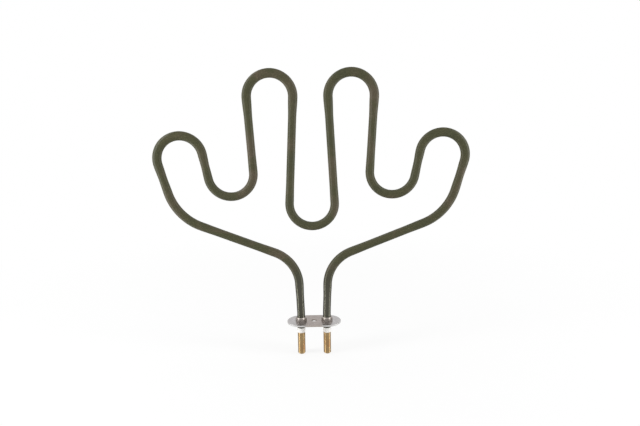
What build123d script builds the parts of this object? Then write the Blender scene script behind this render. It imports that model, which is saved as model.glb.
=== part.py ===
"""Tubular heating element: a metal-sheathed tube bent flat into four fingers, on a
screw flange, with two ceramic-insulated plug pins.

Units are millimetres. The element stands in the XZ plane, +Z up the legs and +X along
the flange. The origin is the centre of the flange's underside, the face that seats on
the appliance wall.
"""

import os
from dataclasses import dataclass
from math import cos, radians, sin, sqrt

from build123d import *

# --- Sheath -----------------------------------------------------------------------
sheath_diameter = 6.5
sheath_wall = 0.6
sheath_tail = 4.5  # how far the sheath stands out under the flange

# --- Route of one half, from the middle of the centre loop out to its leg ------------
tooling_radius = 18.0  # the former that the loops and fingers are bent round
elbow_radius = 42.0
neck_radius = 30.0
set_radius = 60.0  # the slight set that brings each leg square to the flange
centre_angle = 93.0  # half of the centre loop
finger_angle = 186.5
valley_angle = 172.0
outer_finger_angle = 185.0
elbow_angle = 52.3
leg_toe_angle = 2.2  # how far each leg leans towards the other on its way down
inner_run = 82.8  # centre loop to finger
middle_run = 57.7  # finger to valley
outer_run = 20.3  # valley to outer finger
side_run = 23.0  # outer finger to elbow
leg_run = 22.2  # neck to the set above the collar

# --- Width in the plane of the bends, where the press has flattened the tube ---------
centre_width = 6.9
finger_width = 7.4
valley_width = 6.9
outer_finger_width = 7.25
elbow_width = 7.0
neck_width = 7.05
press_fade_length = 16.0  # length over which a flattened bend runs back to a round tube

# --- Flange, collars and pins -------------------------------------------------------
flange_length = 44.0
flange_depth = 22.0
flange_thickness = 1.2
flange_edge_round = 0.25
screw_hole_diameter = 4.2
pin_pitch = 21.2
pin_diameter = 6.2
pin_length = 18.5
pin_tip_chamfer = 0.9
pin_socket_depth = 9.0
collar_flats = 8.0
collar_hex_height = 2.1
collar_taper_height = 1.3
collar_mouth_wall = 0.35
collar_spigot_wall = 0.5
collar_stake_depth = 0.4  # the spigot's end is flared into a countersink, flush below
leg_in_collar = 3.0  # plain vertical sheath between the set and the collar's top

# --- Inside the sheath --------------------------------------------------------------
rod_diameter = 2.4
coil_diameter = 3.2
coil_wire = 0.5
seal_length = 3.0

# --- Ceramic beads ------------------------------------------------------------------
bead_diameter = 6.6
bead_height = 4.0
bead_spigot_height = 3.0
bead_edge_round = 0.3

# --- Clearances ---------------------------------------------------------------------
fit_gap = 0.05  # pieces slid into one another
crimp_gap = 0.02  # pieces pressed together

# --- Derived sizes ------------------------------------------------------------------
sheath_radius = sheath_diameter / 2
rod_radius = rod_diameter / 2
coil_radius = coil_diameter / 2
leg_x = pin_pitch / 2
sheath_end = -sheath_tail
bead_end = sheath_end - bead_height
pin_end = bead_end - pin_length
seal_start = sheath_end + bead_spigot_height
seal_end = seal_start + seal_length
hex_top = flange_thickness + collar_hex_height
collar_top = hex_top + collar_taper_height
collar_bore_radius = sheath_radius + crimp_gap
collar_spigot_radius = collar_bore_radius + collar_spigot_wall
LEFT = 1
RIGHT = -1
elbow_heading = centre_angle - finger_angle + valley_angle - outer_finger_angle - elbow_angle
neck_angle = -90 - leg_toe_angle - elbow_heading
sides = {"left": -leg_x, "right": leg_x}


# --- The sheath's route -------------------------------------------------------------
@dataclass
class Bend:
    """An arc of the route in the XZ plane, with the width it is pressed to."""

    x: float
    z: float
    heading: float
    sense: int
    radius: float
    turn: float
    width: float

    def centre(self):
        return (
            self.x - self.sense * self.radius * sin(radians(self.heading)),
            self.z + self.sense * self.radius * cos(radians(self.heading)),
        )

    def end(self):
        centre_x, centre_z = self.centre()
        leaving = self.heading + self.sense * self.turn
        return (
            centre_x + self.sense * self.radius * sin(radians(leaving)),
            centre_z - self.sense * self.radius * cos(radians(leaving)),
            leaving,
        )


@dataclass
class Run:
    """A straight of the route, with the tube's width where it starts and ends."""

    x: float
    z: float
    heading: float
    length: float
    start_width: float
    end_width: float

    def end(self):
        return (
            self.x + self.length * cos(radians(self.heading)),
            self.z + self.length * sin(radians(self.heading)),
            self.heading,
        )


def half_route(start_z, shoulder_run):
    """Bends and runs of the right half, from the middle of the centre loop outward."""
    leg_length = leg_in_collar + collar_top + sheath_tail
    steps = [
        (LEFT, tooling_radius, centre_angle, centre_width, inner_run),
        (RIGHT, tooling_radius, finger_angle, finger_width, middle_run),
        (LEFT, tooling_radius, valley_angle, valley_width, outer_run),
        (RIGHT, tooling_radius, outer_finger_angle, outer_finger_width, side_run),
        (RIGHT, elbow_radius, elbow_angle, elbow_width, shoulder_run),
        (LEFT, neck_radius, neck_angle, neck_width, leg_run),
        (LEFT, set_radius, leg_toe_angle, sheath_diameter, leg_length),
    ]
    next_widths = [step[3] for step in steps[1:]] + [sheath_diameter]
    route = []
    x, z, heading = 0.0, start_z, 0.0
    for (sense, radius, turn, width, length), next_width in zip(steps, next_widths):
        bend = Bend(x, z, heading, sense, radius, turn, width)
        run = Run(*bend.end(), length, width, next_width)
        route += [bend, run]
        x, z, heading = run.end()
    return route


# The shoulder run is as long as it takes to bring the leg over its hole in the flange,
# and the whole route is as high as it takes to bring the sheath's end under the flange.
reach_x, reach_z, _ = half_route(0, 0)[-1].end()
shoulder_run = (leg_x - reach_x) / cos(radians(elbow_heading))
_, drop_z, _ = half_route(0, shoulder_run)[-1].end()
route = half_route(sheath_end - drop_z, shoulder_run)
cold_stretches = 3  # the leg run, the set and the leg itself: the unheated end
hot_route = route[:-cold_stretches]
cold_route = route[-cold_stretches:]


# --- Solids that follow the route ---------------------------------------------------
def pressed(inset):
    """Section of the tube at a width, with all its walls moved in by the inset."""

    def radii(width):
        in_plane = width / 2
        across = sqrt(2 * sheath_radius**2 - in_plane**2)  # the girth stays the same
        return in_plane - inset, across - inset

    return radii


def round_bar(radius):
    """Section of a round bar or winding, which the press leaves as it is."""

    def radii(width):
        return radius, radius

    return radii


def section_plane(x, z, heading):
    """Plane square to the route, its X in the plane of the bends."""
    along_x = cos(radians(heading))
    along_z = sin(radians(heading))
    return Plane(origin=(x, 0, z), x_dir=(-along_z, 0, along_x), z_dir=(along_x, 0, along_z))


def section(plane, radii):
    """An oval, or a circle where both radii are the same."""
    in_plane, across = radii
    with BuildSketch(plane) as profile:
        if abs(in_plane - across) < crimp_gap / 10:
            Circle(in_plane)
        else:
            Ellipse(in_plane, across)
    return profile.sketch


def bend_solid(bend, radii_at):
    centre_x, centre_z = bend.centre()
    hinge = Axis((centre_x, 0, centre_z), (0, -bend.sense, 0))
    with BuildPart() as solid:
        add(section(section_plane(bend.x, bend.z, bend.heading), radii_at(bend.width)))
        revolve(axis=hinge, revolution_arc=bend.turn)
    return solid.part


def run_solid(run, radii_at):
    """A straight that goes from one bend's oval to round, and on to the next oval."""
    fade = min(press_fade_length, run.length / 2)
    stations = [(0, run.start_width)]
    if run.start_width != sheath_diameter:
        stations.append((fade, sheath_diameter))
    if run.end_width != sheath_diameter and run.length > 2 * fade:
        stations.append((run.length - fade, sheath_diameter))
    stations.append((run.length, run.end_width))
    start = section_plane(run.x, run.z, run.heading)
    with BuildPart() as solid:
        for (near, near_width), (far, far_width) in zip(stations, stations[1:]):
            near_section = section(start.offset(near), radii_at(near_width))
            if radii_at(near_width) == radii_at(far_width):
                extrude(near_section, amount=far - near)
            else:
                far_section = section(start.offset(far), radii_at(far_width))
                loft([near_section, far_section])
    return solid.part


def half_solid(stretches, radii_at):
    with BuildPart() as solid:
        for stretch in stretches:
            if isinstance(stretch, Bend):
                add(bend_solid(stretch, radii_at))
            else:
                add(run_solid(stretch, radii_at))
    return solid.part


def whole_solid(stretches, radii_at):
    with BuildPart() as solid:
        add(half_solid(stretches, radii_at))
        mirror(about=Plane.YZ)
    return solid.part


def on_side(part, name):
    """The right-hand piece as modelled, or its mirror image for the left."""
    return part if name == "right" else part.mirror(Plane.YZ)


os.makedirs("parts", exist_ok=True)

# --- Sheath -------------------------------------------------------------------------
with BuildPart() as sheath:
    add(whole_solid(route, pressed(0)))
    add(whole_solid(route, pressed(sheath_wall)), mode=Mode.SUBTRACT)
sheath.part.label = "sheath"
export_step(sheath.part, "parts/sheath.step")

# --- Resistance coil: the tube that its close-wound turns fill ------------------------
with BuildPart() as resistance_coil:
    add(whole_solid(hot_route, round_bar(coil_radius)))
    add(whole_solid(hot_route, round_bar(coil_radius - coil_wire)), mode=Mode.SUBTRACT)
resistance_coil.part.label = "resistance_coil"
export_step(resistance_coil.part, "parts/resistance_coil.step")

# --- Terminal rods: from the winding down the leg and into the pin -------------------
rod_foot = bead_end - pin_socket_depth + fit_gap
for name in sides:
    with BuildPart() as terminal_rod:
        add(on_side(half_solid(cold_route, round_bar(rod_radius)), name))
        with BuildSketch(Plane((sides[name], 0, sheath_end))):
            Circle(rod_radius)
        extrude(amount=rod_foot - sheath_end)
    terminal_rod.part.label = f"terminal_rod_{name}"
    export_step(terminal_rod.part, f"parts/terminal_rod_{name}.step")

# --- Insulation: powder packed round the winding and the rods, above the seals -------
with BuildPart() as insulation_fill:
    add(whole_solid(route, pressed(sheath_wall + crimp_gap)))
    add(whole_solid(hot_route, round_bar(coil_radius + crimp_gap)), mode=Mode.SUBTRACT)
    add(whole_solid(cold_route, round_bar(rod_radius + crimp_gap)), mode=Mode.SUBTRACT)
    with BuildSketch(Plane((0, 0, sheath_end))):
        Rectangle(pin_pitch + 2 * sheath_diameter, 2 * sheath_diameter)
    extrude(amount=seal_end + crimp_gap - sheath_end, mode=Mode.SUBTRACT)
    add(whole_solid(hot_route, round_bar(coil_radius - coil_wire - crimp_gap)))
insulation_fill.part.label = "insulation_fill"
export_step(insulation_fill.part, "parts/insulation_fill.step")

# --- End seals: elastic plugs between the powder and the beads -----------------------
for name in sides:
    with BuildPart() as end_seal:
        with BuildSketch(Plane((sides[name], 0, seal_start))):
            Circle(sheath_radius - sheath_wall - crimp_gap)
            Circle(rod_radius + crimp_gap, mode=Mode.SUBTRACT)
        extrude(amount=seal_length)
    end_seal.part.label = f"end_seal_{name}"
    export_step(end_seal.part, f"parts/end_seal_{name}.step")

# --- Ceramic beads: a collar under the sheath's end, with a spigot up its mouth -------
for name in sides:
    with BuildPart() as ceramic_bead:
        with BuildSketch(Plane((sides[name], 0, bead_end))):
            Circle(bead_diameter / 2)
        extrude(amount=bead_height)
        fillet(ceramic_bead.edges().filter_by(GeomType.CIRCLE), bead_edge_round)
        with BuildSketch(Plane((sides[name], 0, sheath_end))):
            Circle(sheath_radius - sheath_wall - fit_gap)
        extrude(amount=bead_spigot_height)
        with BuildSketch(Plane((sides[name], 0, bead_end))):
            Circle(rod_radius + fit_gap)
        extrude(amount=bead_height + bead_spigot_height, mode=Mode.SUBTRACT)
    ceramic_bead.part.label = f"ceramic_bead_{name}"
    export_step(ceramic_bead.part, f"parts/ceramic_bead_{name}.step")

# --- Contact pins: turned brass, socketed for the rod --------------------------------
for name in sides:
    with BuildPart() as contact_pin:
        with BuildSketch(Plane((sides[name], 0, pin_end))):
            Circle(pin_diameter / 2)
        extrude(amount=pin_length)
        tip = contact_pin.edges().sort_by(Axis.Z)[0]
        chamfer(tip, pin_tip_chamfer)
        with BuildSketch(Plane((sides[name], 0, bead_end))):
            Circle(rod_radius + fit_gap)
        extrude(amount=-pin_socket_depth, mode=Mode.SUBTRACT)
    contact_pin.part.label = f"contact_pin_{name}"
    export_step(contact_pin.part, f"parts/contact_pin_{name}.step")

# --- Flange plate: stamped obround with a screw hole between the two legs -------------
with BuildPart() as flange_plate:
    with BuildSketch():
        SlotOverall(flange_length, flange_depth)
        Circle(screw_hole_diameter / 2, mode=Mode.SUBTRACT)
        with Locations(*[(x, 0) for x in sides.values()]):
            Circle(collar_spigot_radius + fit_gap, mode=Mode.SUBTRACT)
    extrude(amount=flange_thickness)
    rim = flange_plate.faces().sort_by(Axis.Z)[-1].outer_wire().edges()
    fillet(rim, flange_edge_round)
    underside = flange_plate.faces().sort_by(Axis.Z)[0]
    leg_holes = underside.inner_wires().filter_by(lambda wire: abs(wire.center().X) > leg_x / 2)
    chamfer(leg_holes.edges(), collar_stake_depth)
flange_plate.part.label = "flange_plate"
export_step(flange_plate.part, "parts/flange_plate.step")

# --- Crimp collars: hexagonal ferrules with a spigot staked through the flange --------
hex_corner_radius = collar_flats / 2 / cos(radians(30))
for name in sides:
    x = sides[name]
    with BuildPart() as crimp_collar:
        with BuildSketch(Plane((x, 0, flange_thickness))):
            RegularPolygon(collar_flats / 2, 6, major_radius=False)
        extrude(amount=collar_hex_height + collar_taper_height)
        with BuildSketch(Plane.XZ) as outline:
            with BuildLine():
                Polyline(
                    (x, flange_thickness),
                    (x + hex_corner_radius, flange_thickness),
                    (x + hex_corner_radius, hex_top),
                    (x + collar_bore_radius + collar_mouth_wall, collar_top),
                    (x, collar_top),
                    close=True,
                )
            make_face()
        revolve(axis=Axis((x, 0, 0), (0, 0, 1)), mode=Mode.INTERSECT)
        with BuildSketch(Plane((x, 0, flange_thickness))):
            Circle(collar_spigot_radius)
        extrude(amount=-flange_thickness)
        with BuildSketch(Plane((x, 0, 0))):
            Circle(collar_spigot_radius + collar_stake_depth)
        extrude(amount=collar_stake_depth, taper=45)
        with BuildSketch(Plane((x, 0, 0))):
            Circle(collar_bore_radius)
        extrude(amount=collar_top, mode=Mode.SUBTRACT)
    crimp_collar.part.label = f"crimp_collar_{name}"
    export_step(crimp_collar.part, f"parts/crimp_collar_{name}.step")
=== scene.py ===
"""Finish and studio for a tubular heating element: the sheath is modelled as one bent and
pressed tube, the ferrules as turned hexagons, and every piece gets its own finish.
Metres, in the frame of the construction model: origin under the middle of the flange."""

from math import cos, pi, radians, sin, sqrt

import bpy
from mathutils import Matrix, Vector


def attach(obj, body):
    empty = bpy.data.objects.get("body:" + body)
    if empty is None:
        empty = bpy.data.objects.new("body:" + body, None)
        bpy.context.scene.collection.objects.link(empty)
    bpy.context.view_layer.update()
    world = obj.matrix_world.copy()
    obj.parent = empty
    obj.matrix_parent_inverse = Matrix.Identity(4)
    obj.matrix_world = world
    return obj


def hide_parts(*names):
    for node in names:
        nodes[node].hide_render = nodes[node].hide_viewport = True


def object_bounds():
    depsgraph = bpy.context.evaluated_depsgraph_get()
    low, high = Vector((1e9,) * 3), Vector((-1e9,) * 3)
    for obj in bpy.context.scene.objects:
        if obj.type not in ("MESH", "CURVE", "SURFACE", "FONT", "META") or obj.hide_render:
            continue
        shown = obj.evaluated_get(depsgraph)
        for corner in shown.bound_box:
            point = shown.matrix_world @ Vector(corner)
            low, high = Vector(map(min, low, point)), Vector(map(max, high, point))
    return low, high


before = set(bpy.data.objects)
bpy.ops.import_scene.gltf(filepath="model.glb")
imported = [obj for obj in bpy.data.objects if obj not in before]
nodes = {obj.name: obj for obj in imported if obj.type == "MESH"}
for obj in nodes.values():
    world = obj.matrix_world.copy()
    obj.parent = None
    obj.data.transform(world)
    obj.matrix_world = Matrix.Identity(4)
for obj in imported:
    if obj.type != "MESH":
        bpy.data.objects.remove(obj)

cad_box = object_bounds()
MM = 0.001
LEFT, RIGHT = 1, -1

# --- Sheath sizes, as in the construction model (angles in degrees) ---------------------
SHEATH_DIAMETER = 6.5 * MM
SHEATH_WALL = 0.6 * MM
SHEATH_TAIL = 4.5 * MM  # how far it stands out under the flange
FORMER_RADIUS = 18.0 * MM
ELBOW_RADIUS = 42.0 * MM
ELBOW_ANGLE = 52.3
ELBOW_WIDTH = 7.0 * MM
NECK_RADIUS = 30.0 * MM
NECK_WIDTH = 7.05 * MM
SET_RADIUS = 60.0 * MM  # the slight set that brings each leg square to the flange
LEG_LEAN = 2.2  # how far each leg leans towards the other on its way down
LEG_RUN = 22.2 * MM  # neck to set
LEG_ABOVE_FERRULE = 3.0 * MM  # set to the ferrule's top
LEG_X = 10.6 * MM
PRESS_FADE = 16.0 * MM  # length over which a pressed bend runs back to a round tube

# Side turned to, former radius, angle turned, width pressed to, straight that follows.
LOOPS = [
    (LEFT, FORMER_RADIUS, 93.0, 6.9 * MM, 82.8 * MM),
    (RIGHT, FORMER_RADIUS, 186.5, 7.4 * MM, 57.7 * MM),
    (LEFT, FORMER_RADIUS, 172.0, 6.9 * MM, 20.3 * MM),
    (RIGHT, FORMER_RADIUS, 185.0, 7.25 * MM, 23.0 * MM),
]

# --- Ferrule sizes ----------------------------------------------------------------------
FLANGE_THICKNESS = 1.2 * MM
FERRULE_FLATS = 8.0 * MM
FERRULE_CORNER = FERRULE_FLATS / 2 / cos(radians(30))
HEX_TOP = 3.3 * MM
FERRULE_TOP = 4.6 * MM
FERRULE_BORE = 3.27 * MM
FERRULE_LIP = 3.62 * MM
SPIGOT_RADIUS = 3.77 * MM
STAKE_FLARE = 0.4 * MM

# --- How finely the pieces are shaped ---------------------------------------------------
TUBE_SIDES = 40
BEND_STEP = radians(3.1)  # turned from one ring of a bend to the next
FEWEST_BEND_STEPS = 2
EASE_RINGS = 8  # rings from one oval to another
HEX_SIDES = 6
CUTS_IN_FLAT = 7
EDGE_SEGMENTS = 3
SHEATH_EDGE = 0.18 * MM
FERRULE_EDGE = 0.14 * MM

# --- Tolerances -------------------------------------------------------------------------
SAME_WIDTH = MM / 100
WELD = MM / 100  # points closer than this become one
NEAR = MM / 250  # how close to a place a point is to be picked there
CLEAR = MM / 200  # lift that takes a point out of reach of the next pick
MICRON_PLACES = 6  # decimal places of a metre


# --- Selecting and shaping by hand ------------------------------------------------------
def select_only(*objects):
    bpy.ops.object.select_all(action="DESELECT")
    for item in objects:
        item.select_set(True)
    bpy.context.view_layer.objects.active = objects[0]


def start_ring(name, sides, radius, place, turn):
    """An open circle at its place, left in edit mode with all of it selected."""
    bpy.ops.object.select_all(action="DESELECT")
    bpy.ops.mesh.primitive_circle_add(
        vertices=sides, radius=radius, fill_type="NOTHING", location=place, rotation=turn
    )
    piece = bpy.context.active_object
    piece.name = piece.data.name = name
    bpy.ops.object.transform_apply(location=True, rotation=True, scale=True)
    bpy.ops.object.mode_set(mode="EDIT")
    bpy.ops.mesh.select_all(action="SELECT")
    return piece


def draw_out(move):
    """Extrudes the open ring by a move and leaves the new ring selected."""
    bpy.ops.mesh.extrude_region_move(TRANSFORM_OT_translate={"value": tuple(move)})


def widen(factors, centre):
    bpy.ops.transform.resize(value=tuple(factors), center_override=tuple(centre))


def pick(piece, wanted):
    """Selects the points that a test picks out by their place."""
    bpy.ops.object.mode_set(mode="OBJECT")
    for part in (piece.data.edges, piece.data.polygons):
        for item in part:
            item.select = False
    for point in piece.data.vertices:
        point.select = wanted(point.co)
    bpy.ops.object.mode_set(mode="EDIT")


def turn_faces_out():
    """Makes all the faces point outwards, and leaves edit mode."""
    bpy.ops.mesh.select_all(action="SELECT")
    bpy.ops.mesh.normals_make_consistent(inside=False)
    bpy.ops.object.mode_set(mode="OBJECT")


def apply_modifier(piece, kind, **settings):
    select_only(piece)
    modifier = piece.modifiers.new(kind.lower(), kind)
    for key, value in settings.items():
        setattr(modifier, key, value)
    bpy.ops.object.modifier_apply(modifier=modifier.name)


def break_edges(piece, width, from_angle, smooth_to_angle):
    """Rounds the edges sharper than one angle, and shades smoothly up to another."""
    apply_modifier(
        piece, "BEVEL", limit_method="ANGLE", angle_limit=radians(from_angle),
        width=width, segments=EDGE_SEGMENTS,
    )
    bpy.ops.object.shade_smooth_by_angle(angle=radians(smooth_to_angle))


# --- Bending the sheath -----------------------------------------------------------------
def across_for(width):
    """Half the tube's thickness across the bends once pressed to a width, girth kept."""
    return sqrt(SHEATH_DIAMETER ** 2 / 2 - width ** 2 / 4)


def former_centre(place, side, radius):
    x, z, heading = place
    return (x - side * radius * sin(heading), z + side * radius * cos(heading))


def past_bend(place, side, radius, angle):
    centre_x, centre_z = former_centre(place, side, radius)
    heading = place[2] + side * angle
    return (
        centre_x + side * radius * sin(heading),
        centre_z - side * radius * cos(heading),
        heading,
    )


def past_straight(place, length):
    x, z, heading = place
    return (x + length * cos(heading), z + length * sin(heading), heading)


def shoulder_heading():
    return sum(side * angle for side, _, angle, _, _ in LOOPS) - ELBOW_ANGLE


def sheath_steps(shoulder):
    """Each bend of one half with its straight, from the centre loop to the tube's end."""
    leg = LEG_ABOVE_FERRULE + FERRULE_TOP + SHEATH_TAIL
    steps = LOOPS + [
        (RIGHT, ELBOW_RADIUS, ELBOW_ANGLE, ELBOW_WIDTH, shoulder),
        (LEFT, NECK_RADIUS, -90 - LEG_LEAN - shoulder_heading(), NECK_WIDTH, LEG_RUN),
        (LEFT, SET_RADIUS, LEG_LEAN, SHEATH_DIAMETER, leg),
    ]
    return [
        (side, radius, radians(angle), width, run)
        for side, radius, angle, width, run in steps
    ]


def end_of(steps):
    place = (0, 0, 0)
    for side, radius, angle, _, run in steps:
        place = past_straight(past_bend(place, side, radius, angle), run)
    return place


def bend_ring(place, side, radius, angle):
    """Spins the open ring round the former."""
    centre_x, centre_z = former_centre(place, side, radius)
    count = max(FEWEST_BEND_STEPS, round(angle / BEND_STEP))
    bpy.ops.mesh.spin(
        steps=count, angle=angle, center=(centre_x, 0, centre_z), axis=(0, side, 0)
    )
    return past_bend(place, side, radius, angle)


def ease_ring(place, length, width, new_width):
    """Draws the ring on along its heading and eases it from one pressed oval to another,
    level at both ends."""
    rings = EASE_RINGS if abs(width - new_width) > SAME_WIDTH else 1
    along = Vector((cos(place[2]), 0, sin(place[2])))
    now = width
    for ring in range(1, rings + 1):
        draw_out(along * length / rings)
        place = past_straight(place, length / rings)
        part = ring / rings
        then = width + (new_width - width) * part * part * (3 - 2 * part)
        in_plane = then / now
        across = across_for(then) / across_for(now)
        widen((in_plane, across, in_plane), (place[0], 0, place[1]))
        now = then
    return place


def straighten_ring(place, run, width, next_width):
    """A straight: out of one bend's oval to a round tube, and on into the next oval."""
    fade = min(PRESS_FADE, run / 2)
    place = ease_ring(place, fade, width, SHEATH_DIAMETER)
    if run > 2 * fade:
        place = ease_ring(place, run - 2 * fade, SHEATH_DIAMETER, SHEATH_DIAMETER)
    return ease_ring(place, fade, SHEATH_DIAMETER, next_width)


def model_sheath():
    """The half from the centre loop to the right leg's end, mirrored, with its wall. The
    shoulder is as long as it takes to bring the leg over its hole in the flange."""
    shoulder = (LEG_X - end_of(sheath_steps(0))[0]) / cos(radians(shoulder_heading()))
    steps = sheath_steps(shoulder)
    start_z = -SHEATH_TAIL - end_of(steps)[1]

    width = steps[0][3]
    piece = start_ring("bent_sheath", TUBE_SIDES, MM, (0, 0, start_z), (0, pi / 2, 0))
    widen((1, across_for(width) / MM, width / 2 / MM), (0, 0, start_z))
    place = (0, start_z, 0)
    next_widths = [step[3] for step in steps[1:]] + [SHEATH_DIAMETER]
    for (side, radius, angle, width, run), next_width in zip(steps, next_widths):
        place = bend_ring(place, side, radius, angle)
        place = straighten_ring(place, run, width, next_width)
    bpy.ops.object.mode_set(mode="OBJECT")

    apply_modifier(piece, "MIRROR", use_axis=(True, False, False), merge_threshold=WELD)
    bpy.ops.object.mode_set(mode="EDIT")
    bpy.ops.mesh.select_all(action="SELECT")
    bpy.ops.mesh.remove_doubles(threshold=WELD)
    turn_faces_out()
    apply_modifier(piece, "SOLIDIFY", thickness=SHEATH_WALL, offset=-1)
    break_edges(piece, SHEATH_EDGE, from_angle=50, smooth_to_angle=35)
    return piece


# --- Ferrules ---------------------------------------------------------------------------
def from_axis(co):
    return (co.xy - Vector((LEG_X, 0))).length


def lift_to_cone(piece):
    """Raises the hexagon's top ring, point by point, to where the cone cuts the flats."""
    bpy.ops.object.mode_set(mode="OBJECT")
    reach = sorted({round(from_axis(v.co), MICRON_PLACES) for v in piece.data.vertices})
    for radius in reach:
        pick(piece, lambda co: abs(co.z - HEX_TOP) + abs(from_axis(co) - radius) < NEAR)
        down_the_cone = (FERRULE_CORNER - radius) / (FERRULE_CORNER - FERRULE_LIP)
        lift = down_the_cone * (FERRULE_TOP - HEX_TOP) + CLEAR
        bpy.ops.transform.translate(value=(0, 0, lift))
    pick(piece, lambda co: co.z > HEX_TOP)


def round_ring(piece, radius, height):
    """Makes the open ring a true circle of a radius, flat at a height."""
    centre = Vector((LEG_X, 0, height))
    widen((1, 1, 0), centre)
    bpy.ops.transform.tosphere(value=1, center_override=tuple(centre))
    bpy.ops.object.mode_set(mode="OBJECT")
    reach = [(v.co - centre).length for v in piece.data.vertices if v.select]
    bpy.ops.object.mode_set(mode="EDIT")
    factor = radius * len(reach) / sum(reach)
    widen((factor, factor, 1), centre)


def model_ferrule():
    """A hexagon turned to a cone on top and bored, its spigot staked in the flange."""
    foot = (LEG_X, 0, FLANGE_THICKNESS)
    piece = start_ring("ferrule_right", HEX_SIDES, FERRULE_CORNER, foot, (0, 0, pi / 2))
    bpy.ops.mesh.subdivide(number_cuts=CUTS_IN_FLAT)
    draw_out((0, 0, HEX_TOP - FLANGE_THICKNESS))
    lift_to_cone(piece)
    for height, radius in [
        (FERRULE_TOP, FERRULE_LIP),
        (FERRULE_TOP, FERRULE_BORE),
        (0, FERRULE_BORE),
        (0, SPIGOT_RADIUS + STAKE_FLARE),
        (STAKE_FLARE, SPIGOT_RADIUS),
        (FLANGE_THICKNESS, SPIGOT_RADIUS),
    ]:
        draw_out((0, 0, 0))
        round_ring(piece, radius, height)
    pick(piece, lambda co: abs(co.z - FLANGE_THICKNESS) < NEAR)
    bpy.ops.mesh.bridge_edge_loops()
    turn_faces_out()
    break_edges(piece, FERRULE_EDGE, from_angle=18, smooth_to_angle=40)
    return piece


def copy_across(piece, name):
    """The same piece with its own mesh, moved over to the left leg."""
    select_only(piece)
    bpy.ops.object.duplicate(linked=False)
    twin = bpy.context.active_object
    twin.name = twin.data.name = name
    bpy.ops.object.mode_set(mode="EDIT")
    bpy.ops.mesh.select_all(action="SELECT")
    bpy.ops.transform.translate(value=(-2 * LEG_X, 0, 0))
    bpy.ops.object.mode_set(mode="OBJECT")
    return twin


sheath = model_sheath()
ferrule_right = model_ferrule()
ferrule_left = copy_across(ferrule_right, "ferrule_left")
for piece, node, slot in [
    (sheath, "sheath", "oxidised_steel_sheath"),
    (ferrule_right, "crimp_collar_right", "collar_steel"),
    (ferrule_left, "crimp_collar_left", "collar_steel"),
]:
    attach(piece, "root")
    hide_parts(node)


# --- Finishes ---------------------------------------------------------------------------
# Where the oxide starts above the legs' linished metal, and where it is whole.
OXIDE_START, OXIDE_WHOLE = 20 * MM, 58 * MM
# The heat tint and painted reflection of the dark legs on the flange, between the legs and
# faded out under them.
TINT_AND_REFLECTION_WHOLE, TINT_AND_REFLECTION_END = 5 * MM, 9.5 * MM
# Where the flange's sheared edge gives way to its bright face, past the rounded rim.
EDGE_END, FACE_START = 1.06 * MM, 1.19 * MM
# The stretch of its range that mottling mostly stays in.
GRAIN_LOW, GRAIN_HIGH = 0.3, 0.7
BUMP_FILTER = 0.02  # narrow, so that the finest relief isn't smoothed away
# The Mix node has sockets of one name for numbers and for colours, told apart by place.
MIX_SHARE, MIX_FIRST, MIX_SECOND, MIX_COLOUR = 0, 6, 7, 2


def grey(level):
    return (level, level, level)


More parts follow.
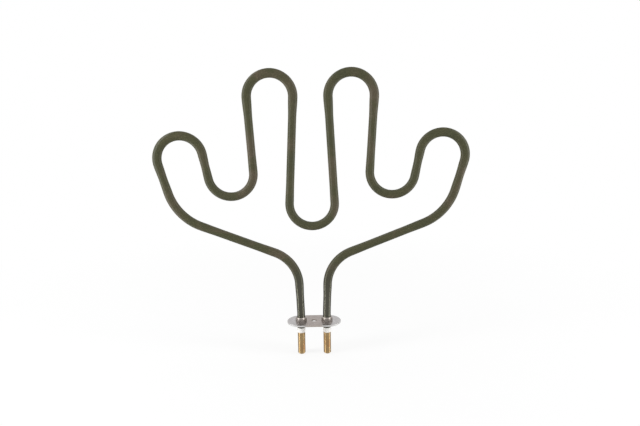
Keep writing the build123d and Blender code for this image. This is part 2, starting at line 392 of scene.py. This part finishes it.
class Finish:
    """A finish made of nodes on Object coordinates, with its Principled shader."""

    def __init__(self, name):
        self.material = bpy.data.materials.new(name)
        self.material.use_nodes = True
        self.tree = self.material.node_tree
        self.tree.nodes.clear()
        output = self.tree.nodes.new("ShaderNodeOutputMaterial")
        self.shader = self.tree.nodes.new("ShaderNodeBsdfPrincipled")
        self.tree.links.new(self.shader.outputs[0], output.inputs["Surface"])
        self.coordinates = self.tree.nodes.new("ShaderNodeTexCoord").outputs["Object"]
        self.bumped = None

    def grain(self, scale, detail=3.0, roughness=0.55, stretch=(1, 1, 1), distortion=0.0):
        """Mottling of so many blotches to the metre, drawn out where stretch is small."""
        mapping = self.tree.nodes.new("ShaderNodeMapping")
        mapping.inputs["Scale"].default_value = stretch
        noise = self.tree.nodes.new("ShaderNodeTexNoise")
        noise.inputs["Scale"].default_value = scale
        noise.inputs["Detail"].default_value = detail
        noise.inputs["Roughness"].default_value = roughness
        noise.inputs["Distortion"].default_value = distortion
        self.tree.links.new(self.coordinates, mapping.inputs["Vector"])
        self.tree.links.new(mapping.outputs["Vector"], noise.inputs["Vector"])
        return noise.outputs["Fac"]

    def rings(self, pitch):
        """Fine turned lines round an upright piece. A wave of scale one repeats every
        tenth of pi."""
        wave = self.tree.nodes.new("ShaderNodeTexWave")
        wave.bands_direction = "Z"
        wave.inputs["Scale"].default_value = pi / 10 / pitch
        self.tree.links.new(self.coordinates, wave.inputs["Vector"])
        return wave.outputs["Fac"]

    def past(self, axis, start, whole):
        """Nought as far as one distance along an axis, to either side, and one past the
        other."""
        split = self.tree.nodes.new("ShaderNodeSeparateXYZ")
        distance = self.tree.nodes.new("ShaderNodeMath")
        distance.operation = "ABSOLUTE"
        self.tree.links.new(self.coordinates, split.inputs[0])
        self.tree.links.new(split.outputs[axis], distance.inputs[0])
        return self.spread(distance.outputs[0], 0, 1, start, whole, "SMOOTHSTEP")

    def spread(self, pattern, low, high, start=0.0, end=1.0, kind="LINEAR"):
        """A number that follows a pattern from one value to another."""
        spread = self.tree.nodes.new("ShaderNodeMapRange")
        spread.interpolation_type = kind
        spread.inputs["From Min"].default_value = start
        spread.inputs["From Max"].default_value = end
        spread.inputs["To Min"].default_value = low
        spread.inputs["To Max"].default_value = high
        self.tree.links.new(pattern, spread.inputs["Value"])
        return spread.outputs["Result"]

    def vary(self, grain, low, high):
        """A number that goes with mottling from one value to another."""
        return self.spread(grain, low, high, GRAIN_LOW, GRAIN_HIGH)

    def shades(self, pattern, *stops):
        """Colours laid along a pattern."""
        ramp = self.tree.nodes.new("ShaderNodeValToRGB")
        while len(ramp.color_ramp.elements) < len(stops):
            ramp.color_ramp.elements.new(1.0)
        for element, (place, colour) in zip(ramp.color_ramp.elements, stops):
            element.position = place
            element.color = (*colour, 1)
        self.tree.links.new(pattern, ramp.inputs["Fac"])
        return ramp.outputs["Color"]

    def blend(self, share, first, second):
        """Two colours mixed by a share of the second."""
        return self.mix("MIX", share, first, second)

    def multiply(self, first, second):
        """One colour darkened by another."""
        return self.mix("MULTIPLY", None, first, second)

    def mix(self, kind, share, first, second):
        """One colour laid over another in full, or by a share where one is given."""
        mix = self.tree.nodes.new("ShaderNodeMix")
        mix.data_type = "RGBA"
        mix.blend_type = kind
        mix.clamp_factor = True
        if share is None:
            mix.inputs[MIX_SHARE].default_value = 1.0
        else:
            self.tree.links.new(share, mix.inputs[MIX_SHARE])
        self.tree.links.new(first, mix.inputs[MIX_FIRST])
        self.tree.links.new(second, mix.inputs[MIX_SECOND])
        return mix.outputs[MIX_COLOUR]

    def colour(self, source):
        self.tree.links.new(source, self.shader.inputs["Base Color"])

    def roughness(self, source):
        self.tree.links.new(source, self.shader.inputs["Roughness"])

    def metal(self, source):
        self.tree.links.new(source, self.shader.inputs["Metallic"])

    def relief(self, pattern, depth, strength=1.0):
        """Raises the surface by a pattern; each further call builds on the last."""
        bump = self.tree.nodes.new("ShaderNodeBump")
        bump.inputs["Distance"].default_value = depth
        bump.inputs["Filter Width"].default_value = BUMP_FILTER
        if isinstance(strength, float):
            bump.inputs["Strength"].default_value = strength
        else:
            self.tree.links.new(strength, bump.inputs["Strength"])
        self.tree.links.new(pattern, bump.inputs["Height"])
        if self.bumped:
            self.tree.links.new(self.bumped, bump.inputs["Normal"])
        self.bumped = bump.outputs["Normal"]
        self.tree.links.new(self.bumped, self.shader.inputs["Normal"])

    def turned(self):
        """Draws the gloss out upwards, as turning an upright piece or linishing round it
        does."""
        upwards = self.tree.nodes.new("ShaderNodeCombineXYZ")
        upwards.inputs["Z"].default_value = 1.0
        self.tree.links.new(upwards.outputs[0], self.shader.inputs["Tangent"])
        self.shader.inputs["Anisotropic"].default_value = 1.0

    def coat(self, weight, roughness):
        self.shader.inputs["Coat Weight"].default_value = weight
        self.shader.inputs["Coat Roughness"].default_value = roughness

    def give(self, *pieces, metallic=0.0, ior=1.5):
        self.shader.inputs["Metallic"].default_value = metallic
        self.shader.inputs["IOR"].default_value = ior
        for piece in pieces:
            piece.data.materials.clear()
            piece.data.materials.append(self.material)


def oxide_sheath():
    """Green-grey annealing oxide, browner in patches, linished to metal down the legs."""
    moss, olive = (0.060, 0.062, 0.031), (0.069, 0.067, 0.033)
    brown = (0.098, 0.080, 0.051)
    dark_steel, bright_steel = (0.080, 0.079, 0.060), (0.112, 0.110, 0.088)
    finish = Finish("annealed_oxide")
    clouds = finish.grain(30, detail=4.0, roughness=0.6, distortion=0.8)
    grit = finish.grain(900, roughness=0.6)
    drawn = finish.grain(260, roughness=0.6, stretch=(1, 1, 0.12))
    hot = finish.past("Z", OXIDE_START, OXIDE_WHOLE)
    linished = finish.spread(hot, 1, 0)
    green = finish.shades(clouds, (0.34, moss), (0.50, olive), (0.64, brown))
    worn = finish.shades(grit, (0.30, grey(0.72)), (0.72, grey(1.0)))
    steel = finish.shades(drawn, (0.30, dark_steel), (0.75, bright_steel))
    finish.colour(finish.blend(hot, steel, finish.multiply(green, worn)))
    finish.roughness(finish.spread(hot, 0.40, 0.64))
    finish.metal(linished)
    finish.relief(grit, 0.02 * MM, finish.spread(hot, 0.06, 0.5))
    finish.relief(finish.rings(0.1 * MM), 0.002 * MM, linished)
    finish.turned()
    finish.give(sheath, ior=1.42)


def zinc_plate():
    """Bright zinc on pressed sheet: a faint spangle, rolling lines, a warm heat tint with
    a painted reflection of the legs between them, and a rougher sheared edge lit by a
    painted highlight."""
    dull_zinc, clean_zinc = (0.42, 0.40, 0.40), (0.54, 0.52, 0.52)
    # Painted highlight: the sheared edge's colours are lighter than the face's, standing
    # in for its lit rim.
    dull_edge_painted_highlight, clean_edge_painted_highlight = (0.48, 0.475, 0.47), (0.60, 0.59, 0.58)
    # Heat tint, partly a painted reflection of the dark legs in the plate.
    heat_tint_and_leg_reflection = (0.74, 0.67, 0.62)
    finish = Finish("bright_zinc")
    spangle = finish.grain(420, roughness=0.6)
    rolled = finish.grain(900, detail=2.0, roughness=0.5, stretch=(0.05, 1, 1))
    face = finish.past("Z", EDGE_END, FACE_START)
    clear_of_tint_and_reflection = finish.past("X", TINT_AND_REFLECTION_WHOLE, TINT_AND_REFLECTION_END)
    tone = finish.shades(spangle, (0.30, dull_zinc), (0.70, clean_zinc))
    lines = finish.shades(rolled, (0.35, grey(0.88)), (0.65, grey(1.0)))
    # The plate darker and warmer between the legs: heat tint and painted reflection of the
    # legs.
    tint_and_reflection = finish.shades(clear_of_tint_and_reflection, (0, heat_tint_and_leg_reflection), (1, grey(1.0)))
    # Painted highlight on the sheared edge; its greater roughness below is the edge's own.
    sheared_edge_painted_highlight = finish.shades(spangle, (0.30, dull_edge_painted_highlight), (0.70, clean_edge_painted_highlight))
    sheet = finish.blend(face, sheared_edge_painted_highlight, finish.multiply(tone, lines))
    finish.colour(finish.multiply(sheet, tint_and_reflection))
    polish = finish.shades(spangle, (0.30, grey(0.20)), (0.70, grey(0.34)))
    torn = finish.shades(rolled, (0.30, grey(0.56)), (0.70, grey(0.68)))
    finish.roughness(finish.blend(face, torn, polish))
    finish.relief(rolled, 0.006 * MM, 0.5)
    finish.relief(finish.grain(160, detail=2.0), 0.05 * MM, 0.4)
    finish.give(nodes["flange_plate"], metallic=1.0)


def ferrule_steel():
    """Plated steel with turning lines, dulled and browned by the crimp and the heat."""
    browned, plated = (0.24, 0.21, 0.19), (0.40, 0.37, 0.34)
    finish = Finish("ferrule_steel")
    stain = finish.grain(500, roughness=0.6)
    finish.colour(finish.shades(stain, (0.32, browned), (0.70, plated)))
    finish.roughness(finish.vary(stain, 0.38, 0.52))
    finish.relief(finish.rings(0.12 * MM), 0.002 * MM, 0.5)
    finish.relief(finish.grain(1400, detail=2.0), 0.006 * MM, 0.3)
    finish.give(ferrule_left, ferrule_right, metallic=1.0)


def pin_brass():
    """Turned brass, with fine tool rings, and redder where it has tarnished."""
    bright, deep = (0.39, 0.275, 0.135), (0.36, 0.24, 0.11)
    tarnished = (0.34, 0.185, 0.08)
    finish = Finish("turned_brass")
    tarnish = finish.grain(180, roughness=0.6)
    finish.colour(finish.shades(tarnish, (0.34, bright), (0.52, deep), (0.68, tarnished)))
    finish.roughness(finish.vary(finish.grain(500), 0.34, 0.42))
    finish.relief(finish.rings(0.14 * MM), 0.003 * MM)
    finish.turned()
    finish.coat(0.3, roughness=0.25)
    finish.give(nodes["contact_pin_left"], nodes["contact_pin_right"], metallic=1.0)


def bead_ceramic():
    """Unglazed white steatite: warm specks, a fine tooth and a trace of handling dirt."""
    speck, body, pale = (0.74, 0.70, 0.64), (0.85, 0.835, 0.81), (0.90, 0.89, 0.87)
    dirt = (0.90, 0.885, 0.86)
    finish = Finish("white_steatite")
    specks = finish.grain(1600, roughness=0.7)
    smear = finish.grain(240, detail=2.0, roughness=0.5)
    white = finish.shades(specks, (0.24, speck), (0.36, body), (0.75, pale))
    shade = finish.shades(smear, (0.25, dirt), (0.65, grey(1.0)))
    finish.colour(finish.multiply(white, shade))
    finish.roughness(finish.vary(specks, 0.42, 0.62))
    finish.relief(specks, 0.006 * MM, 0.4)
    finish.give(nodes["ceramic_bead_left"], nodes["ceramic_bead_right"], ior=1.55)


def rod_steel():
    """Drawn nickel steel with lines along the rod."""
    groove, ridge = (0.38, 0.36, 0.33), (0.55, 0.53, 0.49)
    finish = Finish("drawn_rod")
    drawn = finish.grain(1500, detail=2.0, roughness=0.5, stretch=(1, 1, 0.03))
    finish.colour(finish.shades(drawn, (0.30, groove), (0.70, ridge)))
    finish.roughness(finish.vary(drawn, 0.24, 0.40))
    finish.relief(drawn, 0.006 * MM, 0.5)
    finish.give(nodes["terminal_rod_left"], nodes["terminal_rod_right"], metallic=1.0)


def winding():
    """Close-wound resistance wire, dark with its first oxide."""
    oxidised, bare = (0.16, 0.15, 0.14), (0.30, 0.28, 0.26)
    finish = Finish("wound_wire")
    oxide = finish.grain(600)
    finish.colour(finish.shades(oxide, (0.30, oxidised), (0.70, bare)))
    finish.roughness(finish.vary(oxide, 0.30, 0.50))
    finish.relief(finish.rings(0.5 * MM), 0.12 * MM, 0.8)
    finish.give(nodes["resistance_coil"], metallic=1.0)


def packed_powder():
    """Compacted magnesia, off-white and gritty."""
    hollow, grain_top = (0.66, 0.64, 0.60), (0.82, 0.81, 0.78)
    finish = Finish("packed_magnesia")
    grit = finish.grain(2600, roughness=0.7)
    finish.colour(finish.shades(grit, (0.30, hollow), (0.70, grain_top)))
    finish.roughness(finish.spread(grit, 0.80, 0.98))
    finish.relief(grit, 0.03 * MM, 0.8)
    finish.give(nodes["insulation_fill"])


def seal_silicone():
    """Cured sealing compound, brick red with a soft sheen and small pits."""
    pit, brick_red = (0.26, 0.065, 0.04), (0.36, 0.10, 0.065)
    finish = Finish("sealing_compound")
    pits = finish.grain(1100, detail=2.0, roughness=0.6)
    finish.colour(finish.shades(pits, (0.30, pit), (0.65, brick_red)))
    finish.roughness(finish.vary(pits, 0.38, 0.60))
    finish.relief(pits, 0.02 * MM, 0.6)
    finish.give(nodes["end_seal_left"], nodes["end_seal_right"])


oxide_sheath()
zinc_plate()
ferrule_steel()
pin_brass()
bead_ceramic()
rod_steel()
winding()
packed_powder()
seal_silicone()

# --- Camera: close in front, a little above the middle, tilted slightly down ------------
CAMERA_PLACE = (0.00416, -0.39338, 0.16482)
CAMERA_TILT = radians(8)
CAMERA_ROLL = radians(0.84)
CAMERA_YAW = radians(0.33)
CAMERA_SENSOR = 36  # millimetres, as is the lens
CAMERA_LENS = 28.125
CAMERA_SHIFT = -0.036
CAMERA_NEAR = 0.01


def add_camera():
    camera_data = bpy.data.cameras.new("camera")
    camera = bpy.data.objects.new("camera", camera_data)
    bpy.context.scene.collection.objects.link(camera)
    camera_data.sensor_width = CAMERA_SENSOR
    camera_data.lens = CAMERA_LENS
    camera_data.shift_y = CAMERA_SHIFT
    camera_data.clip_start = CAMERA_NEAR
    yaw = Matrix.Rotation(-CAMERA_YAW, 4, "Z")
    tilt = Matrix.Rotation(pi / 2 - CAMERA_TILT, 4, "X")
    roll = Matrix.Rotation(-CAMERA_ROLL, 4, "Z")
    camera.matrix_world = Matrix.Translation(CAMERA_PLACE) @ (yaw @ tilt @ roll)
    bpy.context.scene.camera = camera


# --- Studio -----------------------------------------------------------------------------
ROOM_STRENGTH = 0.48
WHITE_STRENGTH = 1.0
FLOOR_SIZE = 6
FLOOR_GAP = 0.2 * MM  # under the pins' tips
FLOOR_COLOUR = (0.9, 0.9, 0.9, 1)
WHITE = (1, 1, 1, 1)
# The share of plain white in the floor as far as the near reach, which leaves the shadow
# to be seen. From the far reach on, the floor is plain white.
NEAR_WHITE, NEAR_REACH, FAR_REACH = 0.86, 0.05, 0.5

# Name, place, place aimed at, width and height, watts.
SOFTBOXES = [
    ("left_strip", (-0.62, -0.24, 0.24), (0, 0, 0.08), (0.16, 0.7), 4.8),
    ("right_strip", (0.66, -0.20, 0.24), (0, 0, 0.08), (0.14, 0.7), 3.8),
    ("overhead", (0, 0.05, 0.9), (0, 0, 0), (0.6, 0.6), 0.8),
]


def only_when_seen(tree):
    """One for rays from the camera and for what metal and glass show, else nought."""
    path = tree.nodes.new("ShaderNodeLightPath")
    seen = path.outputs["Is Camera Ray"]
    for other in ("Is Glossy Ray", "Is Transmission Ray"):
        either = tree.nodes.new("ShaderNodeMath")
        either.operation = "MAXIMUM"
        tree.links.new(seen, either.inputs[0])
        tree.links.new(path.outputs[other], either.inputs[1])
        seen = either.outputs[0]
    return seen


def add_softbox(name, place, aim, size, power):
    light_data = bpy.data.lights.new(name, "AREA")
    light_data.shape = "RECTANGLE"
    light_data.size, light_data.size_y = size
    light_data.energy = power
    light = bpy.data.objects.new(name, light_data)
    bpy.context.scene.collection.objects.link(light)
    light.location = place
    light.rotation_mode = "QUATERNION"
    light.rotation_quaternion = (Vector(aim) - Vector(place)).to_track_quat("-Z", "Y")


def light_world():
    """A soft room light, and plain white where the camera, glass or metal sees past."""
    world = bpy.data.worlds.new("white_room")
    bpy.context.scene.world = world
    world.use_nodes = True
    tree = world.node_tree
    tree.nodes.clear()
    output = tree.nodes.new("ShaderNodeOutputWorld")
    mix = tree.nodes.new("ShaderNodeMixShader")
    tree.links.new(only_when_seen(tree), mix.inputs[0])
    for socket, strength in ((1, ROOM_STRENGTH), (2, WHITE_STRENGTH)):
        background = tree.nodes.new("ShaderNodeBackground")
        background.inputs["Color"].default_value = WHITE
        background.inputs["Strength"].default_value = strength
        tree.links.new(background.outputs[0], mix.inputs[socket])
    tree.links.new(mix.outputs[0], output.inputs["Surface"])


def floor_material():
    material = bpy.data.materials.new("pale_table")
    material.use_nodes = True
    tree = material.node_tree
    tree.nodes.clear()
    output = tree.nodes.new("ShaderNodeOutputMaterial")
    matt = tree.nodes.new("ShaderNodeBsdfDiffuse")
    matt.inputs["Color"].default_value = FLOOR_COLOUR
    white = tree.nodes.new("ShaderNodeEmission")
    white.inputs["Color"].default_value = WHITE
    white.inputs["Strength"].default_value = WHITE_STRENGTH
    spot = tree.nodes.new("ShaderNodeTexCoord")
    reach = tree.nodes.new("ShaderNodeVectorMath")
    reach.operation = "LENGTH"
    fade = tree.nodes.new("ShaderNodeMapRange")
    fade.interpolation_type = "SMOOTHSTEP"
    fade.inputs["From Min"].default_value = NEAR_REACH
    fade.inputs["From Max"].default_value = FAR_REACH
    fade.inputs["To Min"].default_value = NEAR_WHITE
    share = tree.nodes.new("ShaderNodeMath")
    share.operation = "MULTIPLY"
    mix = tree.nodes.new("ShaderNodeMixShader")
    tree.links.new(spot.outputs["Object"], reach.inputs[0])
    tree.links.new(reach.outputs["Value"], fade.inputs["Value"])
    tree.links.new(only_when_seen(tree), share.inputs[0])
    tree.links.new(fade.outputs["Result"], share.inputs[1])
    tree.links.new(share.outputs[0], mix.inputs[0])
    tree.links.new(matt.outputs[0], mix.inputs[1])
    tree.links.new(white.outputs[0], mix.inputs[2])
    tree.links.new(mix.outputs[0], output.inputs["Surface"])
    return material


def lay_floor():
    """A pale table top under the pins' tips, white to the eye but for the shadow."""
    bpy.ops.object.select_all(action="DESELECT")
    place = (0, 0, cad_box[0][2] - FLOOR_GAP)
    bpy.ops.mesh.primitive_plane_add(size=FLOOR_SIZE, location=place)
    floor = bpy.context.active_object
    floor.name = "floor"
    bpy.ops.object.transform_apply(location=True, rotation=True, scale=True)
    floor.data.materials.append(floor_material())


add_camera()
light_world()
lay_floor()
for name, place, aim, size, power in SOFTBOXES:
    add_softbox(name, place, aim, size, power)

bpy.context.scene.view_settings.view_transform = "Standard"
